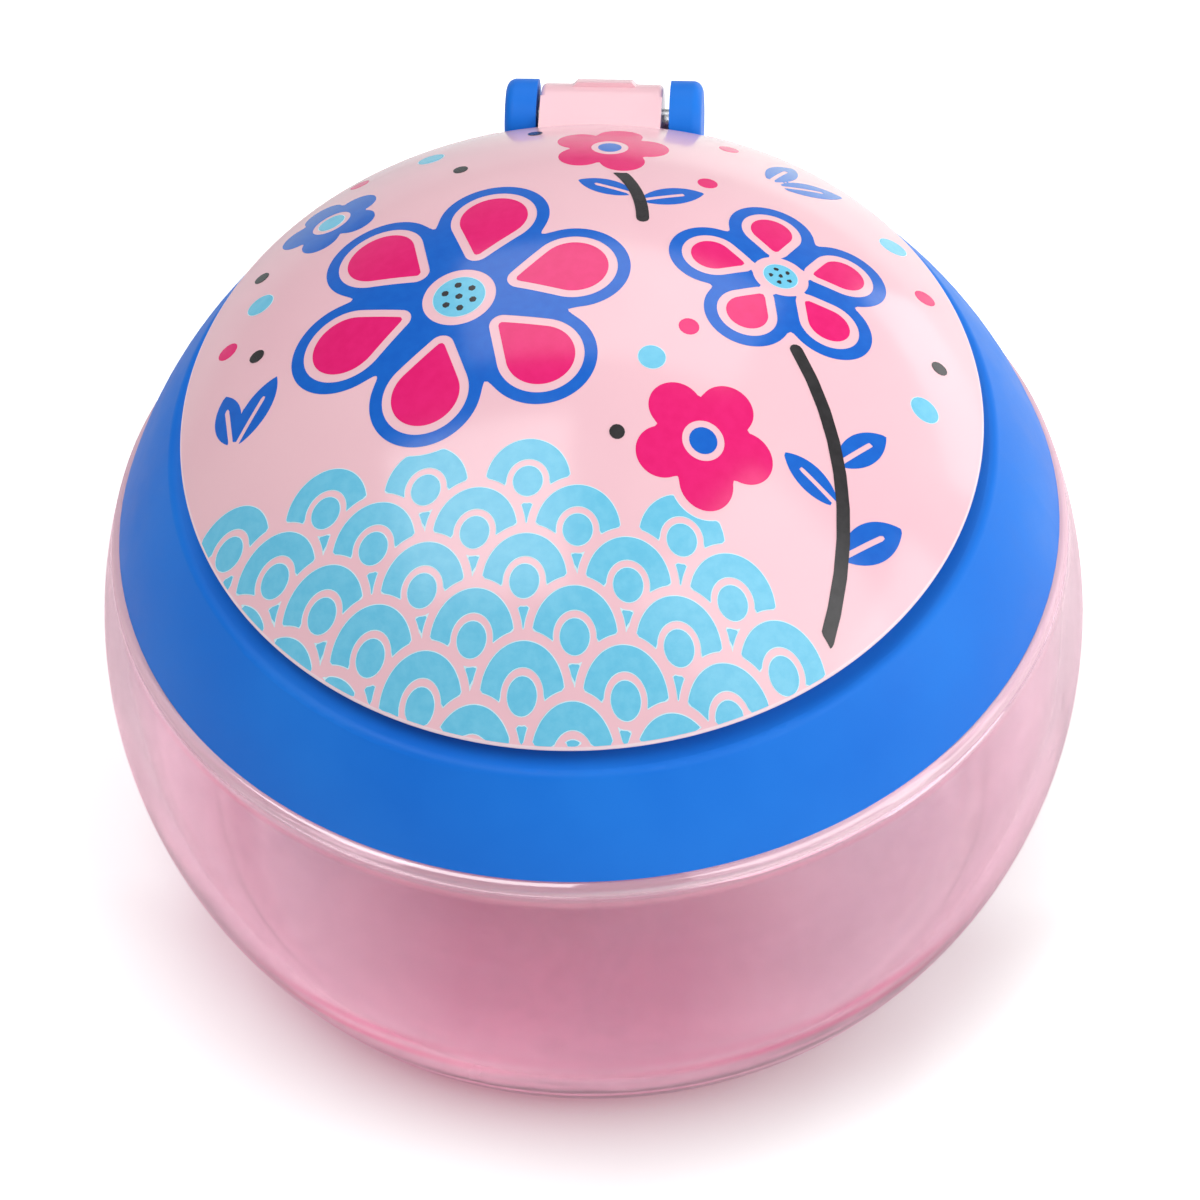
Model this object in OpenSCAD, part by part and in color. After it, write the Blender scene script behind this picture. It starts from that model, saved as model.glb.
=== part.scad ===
// Ball-shaped snack cup for a toddler, in millimetres: a see-through bowl, a screw-on collar that holds
// a diaphragm of soft flaps over the mouth, and a domed lid hinged at the back of the collar.
// The origin is on the ground under the middle of the bowl. +Z is up and the hinge is at the back, +Y.
// Heights named _z are measured from the ball's centre. The deck, the coaming, the hinge and the lid share
// a frame of their own, which leans forward about the ball's centre.

/* [Bowl] */
// Outside radius of the ball-shaped bowl
ball_r = 47.3; // [44:0.1:54]
// Height of the ball's centre above the ground
ball_z = 27.2; // [25:0.1:31]
// Wall of the bowl
bowl_wall = 2; // [1.4:0.1:3]
// Thickness of the bowl's floor
floor_t = 2.4; // [1.8:0.1:4]
// Rounding between side and base, outside
base_round = 4; // [2:0.5:6]
// Rounding between side and floor, inside
floor_round = 5; // [3:0.5:8]
// Height of the bowl's shoulder above the ball's centre
shoulder_z = 13.3; // [10:0.1:15]
// Rounding of the bowl's rim, where side and shoulder meet
rim_round = 0.9; // [0.5:0.1:1.4]
// Rounding under the shoulder, inside
shoulder_round = 1.6; // [0.8:0.1:3]
// Height of the neck above the shoulder
neck_h = 6.4; // [6:0.1:8]
// Wall of the neck
neck_wall = 1.8; // [1.2:0.1:2.4]

/* [Thread] */
// Number of thread ribs on the neck, and on the collar
thread_starts = 4; // [3:1:4]
// Height between one rib and the next
thread_pitch = 3; // [2.6:0.1:3.6]
// How far a rib stands out
thread_depth = 0.9; // [0.6:0.05:0.95]
// Height of a rib at its root
thread_root = 1.3; // [0.9:0.1:1.5]
// Height of a rib at its crest
thread_crest = 0.8; // [0.4:0.1:0.9]
// Running gap between the flanks of mated ribs
thread_gap = 0.2; // [0.1:0.05:0.3]
// Radial room between the neck and the collar's bore
thread_room = 1.2; // [1.1:0.05:1.6]
// Part of a turn that a neck rib covers, in degrees
neck_rib_turn = 70; // [40:5:80]
// Part of a turn that a collar rib covers, in degrees
collar_rib_turn = 40; // [20:5:60]

/* [Collar] */
// How far the collar's surface lies inside the ball
collar_step = 0.44; // [0.3:0.02:1]
// Gap between the bowl's shoulder and the collar's lower edge
collar_gap = 0.19; // [0.1:0.01:0.4]
// Thinnest wall beside the neck
collar_skin = 2.15; // [1.6:0.05:2.6]
// Width of the ledge that holds the flap ring down
ledge_w = 2; // [1.2:0.1:2.4]
// Wall left around the groove in the collar's lower edge
groove_wall = 1.4; // [1:0.1:1.6]
// Height of that groove
groove_h = 3.2; // [2:0.1:3.5]
// Forward lean of the deck and the lid, in degrees
deck_tilt = 4; // [2:0.5:6]
// Thickness of the deck
deck_t = 1.8; // [1.4:0.1:2.6]
// Room between the flap ring and the front of the deck
deck_room = 0.6; // [0.4:0.1:1.5]
// Rounding of the deck's outer edge
deck_round = 1.1; // [0.5:0.1:1.4]
// Width of the deck that shows outside the lid
landing_w = 1.15; // [1:0.05:3]
// Height of the coaming above the deck
coaming_h = 3.2; // [2.6:0.1:3.6]
// Wall of the coaming
coaming_wall = 1.6; // [1.2:0.1:2.2]
// Radius of the snap bead round the coaming
coaming_bead = 0.3; // [0.2:0.05:0.4]

/* [Flap ring] */
// Thickness of the flap ring's flange
flange_t = 1.45; // [1.2:0.05:2]
// Gap above and below the clamped flange
seat_gap = 0.05; // [0.02:0.01:0.1]
// Gap round the outside of the flange
flange_gap = 0.3; // [0.2:0.05:0.4]
// Depth of the lip that centres the flap ring in the neck
lip_h = 2.4; // [1.5:0.1:4]
// Wall of that lip
lip_wall = 0.7; // [0.5:0.1:1]
// Gap between that lip and the neck
lip_gap = 0.15; // [0.1:0.01:0.25]
// Radius of the bead in the collar that carries the flap ring
hold_bead = 0.6; // [0.4:0.05:0.65]
// Number of flaps
flaps = 8; // [8:1:8]
// How far inside the coaming a flap's root lies
flap_inset = 2.9; // [2:0.1:5]
// Thickness of a flap
flap_t = 1.2; // [0.8:0.1:1.3]
// Width of the slit between two flaps
slit_w = 0.4; // [0.4:0.05:0.6]
// Gap at a flap's root
root_gap = 0.15; // [0.1:0.01:0.3]
// Radius of the hole where the slits meet
slit_hole_r = 2; // [1.5:0.1:4]

/* [Lid] */
// Height of the dome above the lid's rim
lid_h = 17.1; // [14:0.1:18]
// Wall of the lid
lid_wall = 1.8; // [1.4:0.1:2.4]
// Rounding of the lid's rim
lid_round = 0.35; // [0.25:0.05:0.6]
// Height of the rim above the deck
lid_lift = 1.9; // [1.5:0.1:2.4]
// Gap between the lid's skirt and the coaming
skirt_gap = 0.55; // [0.5:0.05:0.8]
// Wall of the lid's skirt
skirt_wall = 1.25; // [1:0.05:1.4]
// Gap between the lid's skirt and the deck
skirt_lift = 0.2; // [0.1:0.05:0.3]
// Radius of the snap bead inside the skirt
skirt_bead = 0.3; // [0.2:0.05:0.35]

/* [Hinge] */
// How far the hinge axis lies outside the collar's surface
hinge_out = 0.9; // [0.4:0.05:1.2]
// Height of the hinge axis above the deck
hinge_up = 0.8; // [0.6:0.1:1.4]
// Radius of the ears on the collar
ear_r = 4; // [3.8:0.1:4.1]
// Thickness of an ear
ear_t = 3.1; // [2.5:0.1:4]
// Space between the two ears
ear_gap = 12.9; // [11:0.1:16]
// Rounding of an ear's outer edge
ear_round = 1; // [0.4:0.1:1.4]
// Radius of the lid's knuckle
knuckle_r = 3.6; // [3.4:0.1:3.7]
// Gap between the knuckle and the left ear
knuckle_gap_left = 0.35; // [0.2:0.05:0.5]
// Gap between the knuckle and the right ear
knuckle_gap_right = 0.75; // [0.2:0.05:0.9]
// Rounding of the knuckle's ends
knuckle_round = 0.5; // [0.2:0.1:0.8]
// Gap round the knuckle in the collar's pocket
pocket_gap = 0.35; // [0.3:0.05:0.4]
// Wall behind that pocket
pocket_wall = 1.4; // [1:0.1:1.8]
// Gap between the ears and the lid
ear_clear = 0.55; // [0.45:0.05:0.8]
// Radius of the steel hinge pin
pin_r = 1.25; // [1:0.05:1.5]
// Running gap between the pin and the knuckle
pin_gap = 0.05; // [0.02:0.01:0.08]
// Depth of each pin end below the outside of its ear
pin_sink = 0.5; // [0.3:0.1:1]
// Chamfer at the pin's ends
pin_chamfer = 0.2; // [0.1:0.05:0.4]
// Width of the tab that stops the open lid
stop_w = 6.2; // [4:0.1:8]
// Height of that tab above the knuckle
stop_h = 0.45; // [0.4:0.01:0.5]
// Angle of the tab's rear edge above the axis, in degrees
stop_from = 44; // [40:1:60]
// Angle that the tab covers, in degrees
stop_turn = 22; // [10:1:30]

/* [Hidden] */
$fn = 96;

// Overrun of a cutting shape past the surface that it cuts
over = 1;
// Overlap that joins two shapes of one moulding
bond = 0.4;
// How far a rounding reaches past the surface that it blends into, so that the two cross in one clean line
blend_lap = 0.004;

// Collar, neck and thread
collar_r = ball_r - collar_step;
collar_z = shoulder_z + collar_gap;
neck_top = shoulder_z + neck_h;
bore_r = sqrt(collar_r ^ 2 - neck_top ^ 2) - collar_skin;
neck_r = bore_r - thread_room;
neck_in = neck_r - neck_wall;
lead = thread_starts * thread_pitch;
// Ribs of a pair overlap between these radii, and each flank leans inward on the way out
neck_crest_r = neck_r + thread_depth;
collar_crest_r = bore_r - thread_depth;
rib_lean = (thread_root - thread_crest) / thread_depth;
neck_rib_there = thread_root - rib_lean * (collar_crest_r - neck_r);
rib_drop = (neck_rib_there + thread_crest) / 2 + thread_gap;
neck_rib_z = shoulder_z + (neck_h - lead * neck_rib_turn / 360) / 2;
collar_rib_start = (neck_rib_turn - collar_rib_turn) / 2;

// Flap ring
flange_z = neck_top + seat_gap;
ledge_z = flange_z + flange_t + seat_gap;
flange_r = bore_r - flange_gap;
cavity_r = bore_r - ledge_w;
flap_z = flange_z + flange_t / 2;

// Deck, coaming and lid, in the leaning frame
deck_z = (ledge_z + deck_room) * cos(deck_tilt) + cavity_r * sin(deck_tilt) + deck_t;
crest_r = sqrt(collar_r ^ 2 - deck_z ^ 2);
lid_r = crest_r - landing_w;
lid_z = deck_z + lid_lift;
rim_r = lid_r - lid_round;
rim_z = lid_z + lid_round;
skirt_r = lid_r - 2 * lid_round - bond - skirt_wall - lid_wall / 2;
coaming_r = skirt_r - skirt_gap;
mouth_r = coaming_r - coaming_wall;
// The dome is a cap of a ball that meets the rounding of the rim smoothly
dome_rise = lid_h - 2 * lid_round;
dome_drop = (rim_r ^ 2 - dome_rise ^ 2) / (2 * dome_rise);
dome_r = lid_h - lid_round + dome_drop - blend_lap;
dome_z = rim_z - dome_drop;

// Flaps
flap_root = mouth_r - flap_inset;
flap_turn = 360 / flaps;

// Hinge, in the leaning frame
hinge_z = deck_z + hinge_up;
hinge_y = sqrt((collar_r + hinge_out) ^ 2 - hinge_z ^ 2);
ear_in = ear_gap / 2;
ear_out = ear_in + ear_t;
knuckle_left = -ear_in + knuckle_gap_left;
knuckle_right = ear_in - knuckle_gap_right;
knuckle_w = knuckle_right - knuckle_left;
pocket_r = knuckle_r + pocket_gap;
relief_r = ear_r + ear_clear;
relief_out = ear_out + ear_clear;
pin_left = -ear_out + pin_sink;
pin_len = 2 * (ear_out - pin_sink);

// ---- Shared shapes ----

// Half outline of a ball cut off level at lo and hi, with both corners rounded
module ball_band(r, lo, lo_round, hi, hi_round) {
    lo_mid = [sqrt((r - lo_round + blend_lap) ^ 2 - (lo + lo_round) ^ 2), lo + lo_round];
    hi_mid = [sqrt((r - hi_round + blend_lap) ^ 2 - (hi - hi_round) ^ 2), hi - hi_round];
    lo_meet = lo_mid.y * r / (r - lo_round);
    hi_meet = hi_mid.y * r / (r - hi_round);
    intersection() {
        circle(r);
        translate([0, lo_meet]) square([r + over, hi_meet - lo_meet]);
    }
    translate([0, lo]) square([lo_mid.x, lo_meet - lo + bond]);
    translate([0, hi_meet - bond]) square([hi_mid.x, hi - hi_meet + bond]);
    translate(lo_mid) circle(lo_round);
    translate(hi_mid) circle(hi_round);
}

// Half outline of a ring between two radii
module ring(r_in, r_out, lo, hi) {
    translate([r_in, lo]) square([r_out - r_in, hi - lo]);
}

// Frame at the ball's centre, level
module ball_frame() {
    translate([0, 0, ball_z]) children();
}

// Frame at the ball's centre, leaning forward with the deck
module deck_frame() {
    ball_frame() rotate([deck_tilt, 0, 0]) children();
}

// Frame on the hinge axis: its z runs along the axis from left to right, its x to the back
module hinge_frame() {
    deck_frame() translate([0, hinge_y, hinge_z]) rotate([0, 0, 90]) rotate([90, 0, 0]) children();
}

// Plain roller on the hinge axis, from x0 to x1
module hinge_roller(r, x0, x1) {
    hinge_frame() translate([0, 0, x0]) cylinder(r = r, h = x1 - x0);
}

// Ribs of a screw thread as sweeps of a four-cornered outline, all at the same height.
// outline holds [radius, height] corners, given counter-clockwise.
module thread_ribs(outline, z0, start, turn) {
    steps = 14;
    corners = len(outline);
    points = [for (i = [0 : steps]) let (a = turn * i / steps, z = z0 + lead * a / 360)
        for (p = outline) [p[0] * cos(a), p[0] * sin(a), z + p[1]]];
    sides = [for (i = [0 : steps - 1]) for (j = [0 : corners - 1]) let (k = (j + 1) % corners)
        [i * corners + j, i * corners + k, (i + 1) * corners + k, (i + 1) * corners + j]];
    first = [[for (j = [corners - 1 : -1 : 0]) j]];
    last = [[for (j = [0 : corners - 1]) steps * corners + j]];
    for (s = [0 : thread_starts - 1])
        rotate([0, 0, start + s * 360 / thread_starts]) polyhedron(points, concat(sides, first, last));
}

// ---- Sub-parts ----

// Half outline of the bowl's walls
module bowl_outline() {
    difference() {
        union() {
            ball_band(ball_r, -ball_z, base_round, shoulder_z, rim_round);
            ring(0, neck_r, 0, neck_top);
        }
        ball_band(ball_r - bowl_wall, floor_t - ball_z, floor_round, shoulder_z - bowl_wall, shoulder_round);
        ring(0, neck_in, 0, neck_top + over);
    }
}

module bowl() {
    rib = [[neck_r - bond, -thread_root / 2], [neck_crest_r, -thread_crest / 2],
        [neck_crest_r, thread_crest / 2], [neck_r - bond, thread_root / 2]];
    color("lightpink") ball_frame() {
        rotate_extrude() bowl_outline();
        thread_ribs(rib, neck_rib_z, 0, neck_rib_turn);
    }
}

// Outside of the collar: the ball, cut off by the leaning deck
module collar_form() {
    edge = [sqrt((collar_r - deck_round + blend_lap) ^ 2 - (deck_z - deck_round) ^ 2), deck_z - deck_round];
    meet = edge.y * collar_r / (collar_r - deck_round);
    deck_frame() rotate_extrude() {
        intersection() {
            circle(collar_r);
            ring(0, collar_r + over, 0, meet);
        }
        ring(0, edge.x, 0, deck_z);
        translate(edge) circle(deck_round);
    }
}

// Everything that is hollow inside the collar
module collar_hollow() {
    ball_frame() rotate_extrude() {
        ring(0, bore_r, collar_z - 2 * over, ledge_z);
        // The groove keeps the thick lower edge to an even wall
        intersection() {
            circle(collar_r - groove_wall);
            ring(bore_r + groove_wall, collar_r, collar_z - 2 * over, collar_z + groove_h);
        }
    }
    // The room under the deck stops short of the hinge pocket's wall
    difference() {
        intersection() {
            ball_frame() cylinder(r = cavity_r, h = collar_r);
            deck_frame() rotate_extrude() intersection() {
                circle(collar_r - deck_t);
                ring(0, collar_r, 0, deck_z - deck_t);
            }
        }
        hinge_roller(pocket_r + pocket_wall, -relief_out, relief_out);
    }
    deck_frame() cylinder(r = mouth_r, h = collar_r);
}

module coaming() {
    deck_frame() rotate_extrude() {
        ring(mouth_r, coaming_r, deck_z - bond, deck_z + coaming_h - coaming_wall / 4);
        ring(mouth_r + coaming_wall / 4, coaming_r - coaming_wall / 4, deck_z, deck_z + coaming_h);
        translate([mouth_r + coaming_wall / 4, deck_z + coaming_h - coaming_wall / 4])
            circle(coaming_wall / 4);
        translate([coaming_r - coaming_wall / 4, deck_z + coaming_h - coaming_wall / 4])
            circle(coaming_wall / 4);
        translate([coaming_r, deck_z + coaming_h - coaming_wall / 2]) circle(coaming_bead);
    }
}

// Ear with a rounded outer edge; side is -1 on the left and 1 on the right
module ear(side) {
    hinge_frame() mirror([0, 0, side < 0 ? 1 : 0]) translate([0, 0, ear_in]) rotate_extrude() {
        square([ear_r, ear_t - ear_round]);
        square([ear_r - ear_round, ear_t]);
        translate([ear_r - ear_round, ear_t - ear_round]) circle(ear_round);
    }
}

module collar() {
    rib = [[collar_crest_r, -thread_crest / 2], [bore_r + bond, -thread_root / 2],
        [bore_r + bond, thread_root / 2], [collar_crest_r, thread_crest / 2]];
    color("royalblue") {
        difference() {
            union() {
                difference() {
                    collar_form();
                    collar_hollow();
                    // Everything below the collar's level lower edge
                    translate([0, 0, ball_z + collar_z - 2 * ball_r])
                        cylinder(r = 2 * ball_r, h = 2 * ball_r);
                }
                coaming();
                ear(-1);
                ear(1);
            }
            hinge_roller(pocket_r, -ear_in, ear_in);
            hinge_roller(pin_r, -ear_out - over, pin_left + pin_len);
        }
        ball_frame() {
            rotate_extrude() intersection() {
                translate([bore_r, flange_z - hold_bead - 2 * seat_gap]) circle(hold_bead);
                ring(0, bore_r + bond, shoulder_z, ledge_z);
            }
            rotate([0, 0, collar_rib_start])
                thread_ribs(rib, neck_rib_z + lead * collar_rib_start / 360 - rib_drop, 0, collar_rib_turn);
        }
    }
}

// Outline with one side for each flap; reach is the distance from the centre to a side
module flap_hole(reach) {
    corner = reach / cos(flap_turn / 2);
    polygon([for (i = [0 : flaps - 1]) let (a = flap_turn * (i + 0.5)) corner * [cos(a), sin(a)]]);
}

module flap_ring() {
    color("mistyrose") ball_frame() difference() {
        rotate_extrude() {
            ring(0, flange_r, flange_z, flange_z + flange_t);
            ring(neck_in - lip_gap - lip_wall, neck_in - lip_gap, flange_z - lip_h, flange_z + bond);
        }
        translate([0, 0, flange_z - over]) linear_extrude(flange_t + 2 * over)
            flap_hole(flap_root + flap_t / 2 + root_gap);
    }
}

// One flap of the diaphragm, pointing from its root to the middle
module flap(number) {
    half_slit = slit_w / 2 / sin(flap_turn / 2);
    root_half = (flap_root - half_slit) * tan(flap_turn / 2);
    roll_half = root_half - flap_t / 2 * tan(flap_turn / 2);
    color("mistyrose") ball_frame() rotate([0, 0, flap_turn * (number - 1)]) {
        difference() {
            translate([0, 0, flap_z - flap_t / 2]) linear_extrude(flap_t)
                polygon([[half_slit, 0], [flap_root, -root_half], [flap_root, root_half]]);
            translate([0, 0, flap_z - flap_t]) cylinder(r = slit_hole_r, h = 2 * flap_t);
        }
        translate([flap_root, -roll_half, flap_z]) rotate([-90, 0, 0])
            cylinder(r = flap_t / 2, h = 2 * roll_half);
    }
}

// Half outline of the lid's dome, rim and skirt
module lid_outline() {
    difference() {
        union() {
            intersection() {
                translate([0, dome_z]) circle(dome_r);
                ring(0, lid_r, rim_z + dome_drop * lid_round / (dome_r - lid_round), dome_z + dome_r + over);
            }
            ring(0, rim_r, lid_z, rim_z + lid_round);
            translate([rim_r, rim_z]) circle(lid_round);
        }
        intersection() {
            translate([0, dome_z]) circle(dome_r - lid_wall);
            ring(0, lid_r, lid_z - over, dome_z + dome_r);
        }
    }
    ring(skirt_r, skirt_r + skirt_wall, deck_z + skirt_lift, lid_z + lid_wall);
    ring(skirt_r, skirt_r + skirt_wall + bond, lid_z, lid_z + lid_wall);
    translate([skirt_r + bond / 2, deck_z + skirt_lift + skirt_bead + bond]) circle(skirt_bead);
}

// Roller with rounded ends that carries the lid on the pin, and the tab that stops the open lid
module knuckle() {
    hinge_frame() translate([0, 0, knuckle_left]) rotate_extrude() {
        translate([0, knuckle_round]) square([knuckle_r, knuckle_w - 2 * knuckle_round]);
        square([knuckle_r - knuckle_round, knuckle_w]);
        translate([knuckle_r - knuckle_round, knuckle_round]) circle(knuckle_round);
        translate([knuckle_r - knuckle_round, knuckle_w - knuckle_round]) circle(knuckle_round);
    }
    hinge_frame() rotate([0, 0, stop_from]) rotate_extrude(angle = stop_turn)
        polygon([[knuckle_r - bond, -stop_w / 2 - bond], [knuckle_r + stop_h, -stop_w / 2 + stop_h],
            [knuckle_r + stop_h, stop_w / 2 - stop_h], [knuckle_r - bond, stop_w / 2 + bond]]);
}

// Arm between the dome and the knuckle
module lid_arm() {
    top = hinge_z + knuckle_r;
    from = sqrt(dome_r ^ 2 - (top - dome_z) ^ 2) - lid_wall / 2;
    deck_frame() translate([knuckle_left, from, lid_z]) cube([knuckle_w, hinge_y - from, top - lid_z]);
}

module lid() {
    color("pink") difference() {
        union() {
            deck_frame() rotate_extrude() lid_outline();
            knuckle();
            lid_arm();
        }
        hinge_roller(pin_r + pin_gap, knuckle_left - over, knuckle_right + over);
        hinge_roller(relief_r, -relief_out, knuckle_left);
        hinge_roller(relief_r, knuckle_right, relief_out);
    }
}

module hinge_pin() {
    color("silver") hinge_frame() translate([0, 0, pin_left]) rotate_extrude()
        polygon([[0, 0], [pin_r - pin_chamfer, 0], [pin_r, pin_chamfer], [pin_r, pin_len - pin_chamfer],
            [pin_r - pin_chamfer, pin_len], [0, pin_len]]);
}

bowl();
collar();
flap_ring();
flap(1);  // flap_1
flap(2);  // flap_2
flap(3);  // flap_3
flap(4);  // flap_4
flap(5);  // flap_5
flap(6);  // flap_6
flap(7);  // flap_7
flap(8);  // flap_8
lid();
hinge_pin();
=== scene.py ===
"""Toddler snack container: a see-through bowl, a blue screw-on collar with soft flaps, and a printed lid."""
import functools
import math

import bpy
import numpy as np
from mathutils import Matrix, Vector


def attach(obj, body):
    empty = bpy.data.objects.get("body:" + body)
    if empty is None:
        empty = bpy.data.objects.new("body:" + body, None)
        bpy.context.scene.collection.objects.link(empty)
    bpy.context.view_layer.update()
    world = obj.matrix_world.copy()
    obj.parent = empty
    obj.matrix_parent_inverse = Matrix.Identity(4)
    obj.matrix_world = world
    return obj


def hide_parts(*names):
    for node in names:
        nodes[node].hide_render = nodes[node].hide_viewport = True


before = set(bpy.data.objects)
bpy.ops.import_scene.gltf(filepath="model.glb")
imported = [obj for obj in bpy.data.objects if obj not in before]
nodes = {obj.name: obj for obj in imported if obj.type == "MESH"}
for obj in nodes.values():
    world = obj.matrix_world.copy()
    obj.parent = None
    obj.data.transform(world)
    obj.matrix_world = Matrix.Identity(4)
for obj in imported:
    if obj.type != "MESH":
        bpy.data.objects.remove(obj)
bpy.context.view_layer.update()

# ---- Sizes from the part's source, in millimetres ----
MM = 0.001
BALL_Z = 27.2                       # height of the ball's centre
TILT = math.radians(4.0)            # forward lean of deck and lid
DOME_R, DOME_Z = 50.9675, -5.69828  # the lid's outer ball, in the leaning frame
RIM_R, RIM_Z, RIM_ROUND = 37.3018, 28.5232, 0.35   # the rounding of the lid's rim
EAR_OUT, RELIEF_B = 10.4, 34.7      # the cut in the lid for the hinge: half its width, and where it starts
FLAPS = 8                           # soft flaps round the mouth


def from_deck(x, b, z):
    """A point of the leaning frame at the ball's centre, in metres in the row frame."""
    y = b * math.cos(TILT) - z * math.sin(TILT)
    up = b * math.sin(TILT) + z * math.cos(TILT) + BALL_Z
    return np.stack([x, y, up], axis=-1) * MM


# ---- Materials ----
WHITE = (1.0, 1.0, 1.0, 1.0)
PLASTIC_IOR = 1.49


def srgb(r, g, b):
    """Linear colour of an 8-bit sRGB one."""
    def one(v):
        v /= 255
        return v / 12.92 if v <= 0.04045 else ((v + 0.055) / 1.055) ** 2.4
    return one(r), one(g), one(b), 1.0


class Shader:
    """The nodes of a material or of the world, built call by call."""

    def __init__(self, block, output="ShaderNodeOutputMaterial"):
        self.block = block
        block.use_nodes = True
        self.tree = block.node_tree
        self.tree.nodes.clear()
        self.out = self.add(output)

    def add(self, kind, **values):
        """A new node. Each value is one of its settings or, with _ for a space, one of its sockets."""
        node = self.tree.nodes.new(kind)
        for key, value in values.items():
            if hasattr(node, key):
                setattr(node, key, value)
            else:
                self.set(node, key.replace("_", " "), value)
        return node

    def set(self, node, socket, value):
        """Gives a socket, named or numbered, a constant or links it to another node's output."""
        target = node.inputs[socket] if not isinstance(socket, str) else next(
            s for s in node.inputs if s.name.lower() == socket.lower() and s.enabled)
        if isinstance(value, bpy.types.NodeSocket):
            self.tree.links.new(value, target)
        else:
            target.default_value = value

    def place(self):
        """The shaded point, in metres in the row frame as it is at rest."""
        return self.add("ShaderNodeTexCoord").outputs["Object"]

    def axes(self, vector):
        parts = self.add("ShaderNodeSeparateXYZ", Vector=vector)
        return [parts.outputs[key] for key in "XYZ"]

    def here(self):
        """The x, y and z of the shaded point, in millimetres."""
        point = self.add("ShaderNodeVectorMath", operation="SCALE", Vector=self.place(), Scale=1 / MM)
        return self.axes(point.outputs["Vector"])

    def noise(self, scale, detail=2.0, rough=0.5, warp=0.0):
        return self.add("ShaderNodeTexNoise", Vector=self.place(), Scale=scale, Detail=detail,
                        Roughness=rough, Distortion=warp).outputs["Fac"]

    def ramp(self, fac, low, high, out_low=0.0, out_high=1.0):
        """A value that runs from out_low to out_high as fac runs from low to high, and stays there beyond."""
        return self.add("ShaderNodeMapRange", Value=fac, From_Min=low, From_Max=high, To_Min=out_low,
                        To_Max=out_high).outputs["Result"]

    def math(self, operation, a, b=0.0):
        n = self.add("ShaderNodeMath", operation=operation)
        self.set(n, 0, a)
        self.set(n, 1, b)
        return n.outputs[0]

    def times(self, *factors):
        """The product of all the factors."""
        return functools.reduce(lambda a, b: self.math("MULTIPLY", a, b), factors)

    def most(self, *values):
        """The largest of all the values."""
        return functools.reduce(lambda a, b: self.math("MAXIMUM", a, b), values)

    def span(self, a, b):
        """The distance with the two legs a and b."""
        return self.math("SQRT", self.math("ADD", self.times(a, a), self.times(b, b)))

    def blend(self, fac, a, b):
        """A colour between a, where fac is 0, and b, where it is 1."""
        return self.add("ShaderNodeMix", data_type="RGBA", Factor=fac, A=a, B=b).outputs["Result"]

    def mix(self, share, a, b):
        """A surface that is a, with a share of b."""
        n = self.add("ShaderNodeMixShader")
        for socket, value in enumerate((share, a, b)):
            self.set(n, socket, value)
        return n.outputs["Shader"]

    def bump(self, height, distance, strength):
        return self.add("ShaderNodeBump", Height=height, Distance=distance,
                        Strength=strength).outputs["Normal"]

    def principled(self, **values):
        return self.add("ShaderNodeBsdfPrincipled", **values).outputs["BSDF"]

    def show(self, socket):
        self.set(self.out, "Surface", socket)
        return self.block


def material(name):
    return Shader(bpy.data.materials.new(name))


def collar_material():
    s = material("collar_satin")
    colour = s.blend(s.ramp(s.noise(60.0, 3.0), 0.35, 0.65), srgb(19, 117, 226), srgb(27, 125, 232))
    grain = s.bump(s.noise(5200.0, 2.0, 0.6), 0.000012, 0.35)
    rough = s.ramp(s.noise(240.0, 3.0), 0.3, 0.7, 0.42, 0.50)
    return s.show(s.principled(Base_Color=colour, Roughness=rough, Normal=grain, IOR=PLASTIC_IOR,
                               Specular_IOR_Level=0.2))


PAINTED_RIM_LINE_IN, PAINTED_RIM_LINE_OUT = 37.50, 37.70   # radii of the pale line painted on the rim's rounding as a highlight, in millimetres of the leaning frame


def lid_material():
    """Glossy pink, with a thin pale line painted round the dome's edge, on the rim's rounding, as a
    highlight.
    """
    s = material("lid_gloss")
    pink = s.blend(s.ramp(s.noise(45.0, 3.0), 0.35, 0.65), srgb(246, 197, 208), srgb(249, 203, 212))
    x, y, z = s.here()
    rise = s.times(s.math("SUBTRACT", z, BALL_Z), math.sin(TILT))
    b = s.math("ADD", s.times(y, math.cos(TILT)), rise)
    reach = s.span(x, b)
    # painted highlight: a paler pink on the rim's rounding, faded out towards the hinge at the back
    edge = s.times(s.ramp(reach, PAINTED_RIM_LINE_IN, PAINTED_RIM_LINE_IN + 0.07), s.ramp(b, 30.0, 34.0, 1.0, 0.0),
                   s.ramp(reach, PAINTED_RIM_LINE_OUT - 0.04, PAINTED_RIM_LINE_OUT, 1.0, 0.0))
    colour = s.blend(edge, pink, srgb(252, 226, 234))
    rough = s.ramp(s.noise(300.0, 3.0), 0.3, 0.7, 0.13, 0.17)
    wave = s.bump(s.noise(38.0, 1.0, 0.4), 0.00012, 0.5)
    return s.show(s.principled(Base_Color=colour, Roughness=rough, Normal=wave, IOR=PLASTIC_IOR))


def ink_material(name, low, high, rough, pebble):
    """A printed ink, cloudy between the colours low and high; pebble is how strongly it is grained."""
    s = material(name)
    colour = s.blend(s.ramp(s.noise(900.0, 3.0, 0.55), 0.35, 0.65), low, high)
    grain = s.bump(s.noise(2800.0), 0.00002, pebble)
    return s.show(s.principled(Base_Color=colour, Roughness=rough, Normal=grain, IOR=PLASTIC_IOR))


# Marks on the bowl: a height, and the radius that parts its outside from its inside there, in millimetres
PAINTED_FLOOR_LINE_Z, PAINTED_FLOOR_LINE_R = 10.9, 43.2   # a darker pink line painted on the front of the side, for the floor's edge seen bent through the wall
UNDER_Z, UNDER_R = 38.55, 44.6    # a darker pink line of painted shade under the rim's highlight
LIP_Z, LIP_R = 39.0, 44.3         # the rim, milky and paler from this height up: partly haze, partly a painted highlight
BEND_Z, BEND_R = 36.7, 45.0       # the gleaming bend at the top of the inside, from this height up
BEND_TOP = 38.6                   # and no further than this height


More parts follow.
